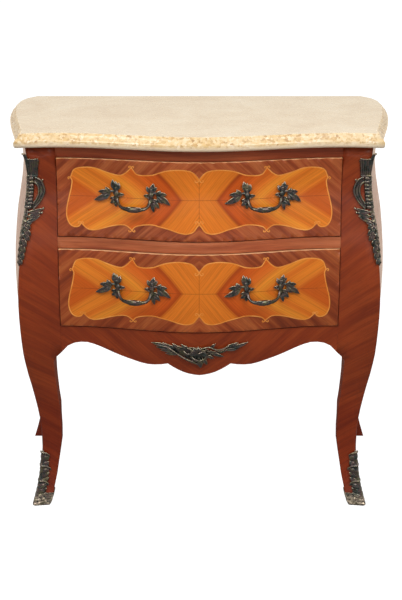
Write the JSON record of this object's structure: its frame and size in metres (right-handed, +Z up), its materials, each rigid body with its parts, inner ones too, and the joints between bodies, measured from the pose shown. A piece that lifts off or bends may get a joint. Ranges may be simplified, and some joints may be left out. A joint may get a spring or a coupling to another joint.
{
  "type": "commode chest",
  "caption": "Bombe commode chest with serpentine sliding drawers, scrolled marquetry fronts, cast bronze mounts and a moulded marble top on cabriole legs.",
  "frame": {"origin": "on the floor, under the middle of the chest's overall width and depth", "axes": "+Z up, -Y out of the drawer fronts, +X to the right as seen from the front"},
  "size_m": [0.8776, 0.485, 0.872],
  "materials": {
    "veneer": "red-brown kingwood veneer, french polished",
    "marquetry": "orange tulipwood panels in a kingwood band, french polished",
    "carcass_wood": "plain sawn softwood, unpolished",
    "drawer_wood": "plain planed wood, waxed",
    "marble": "polished cream marble with ochre mottling on the edge",
    "bronze": "dark patinated bronze with rubbed high spots",
    "screw_steel": "plain steel"
  },
  "bodies": {
    "carcass": {"front_leg_right": "veneer", "front_leg_left": "veneer", "rear_leg_right": "veneer", "rear_leg_left": "veneer", "top_front_rail": "veneer", "middle_front_rail": "veneer", "front_apron": "veneer", "side_panel_right": "veneer", "side_panel_left": "veneer", "top_back_rail": "carcass_wood", "bottom_back_rail": "carcass_wood", "back_panel": "carcass_wood", "upper_runner_right": "carcass_wood", "upper_runner_left": "carcass_wood", "lower_runner_right": "carcass_wood", "lower_runner_left": "carcass_wood", "kicker_right": "carcass_wood", "kicker_left": "carcass_wood", "upper_guide_right": "carcass_wood", "upper_guide_left": "carcass_wood", "lower_guide_right": "carcass_wood", "lower_guide_left": "carcass_wood", "top_board": "carcass_wood", "bottom_board": "carcass_wood", "dust_panel": "carcass_wood", "marble_top": "marble", "corner_mount_right": "bronze", "corner_mount_left": "bronze", "front_shoe_right": "bronze", "front_shoe_left": "bronze", "apron_mount": "bronze"},
    "upper_drawer": {"upper_drawer_front": "marquetry", "upper_drawer_side_right": "drawer_wood", "upper_drawer_side_left": "drawer_wood", "upper_drawer_back": "drawer_wood", "upper_drawer_bottom": "drawer_wood", "upper_drawer_handle_left": "bronze", "upper_drawer_handle_right": "bronze", "upper_drawer_screw_1": "screw_steel", "upper_drawer_screw_2": "screw_steel", "upper_drawer_screw_3": "screw_steel", "upper_drawer_screw_4": "screw_steel"},
    "lower_drawer": {"lower_drawer_front": "marquetry", "lower_drawer_side_right": "drawer_wood", "lower_drawer_side_left": "drawer_wood", "lower_drawer_back": "drawer_wood", "lower_drawer_bottom": "drawer_wood", "lower_drawer_handle_left": "bronze", "lower_drawer_handle_right": "bronze", "lower_drawer_screw_1": "screw_steel", "lower_drawer_screw_2": "screw_steel", "lower_drawer_screw_3": "screw_steel", "lower_drawer_screw_4": "screw_steel"}
  },
  "joints": [
    {"name": "upper_drawer_slide", "type": "slide", "parent": "carcass", "child": "upper_drawer", "axis": [0, -1, 0], "range_m": [0, 0.28]},
    {"name": "lower_drawer_slide", "type": "slide", "parent": "carcass", "child": "lower_drawer", "axis": [0, -1, 0], "range_m": [0, 0.28]}
  ]
}
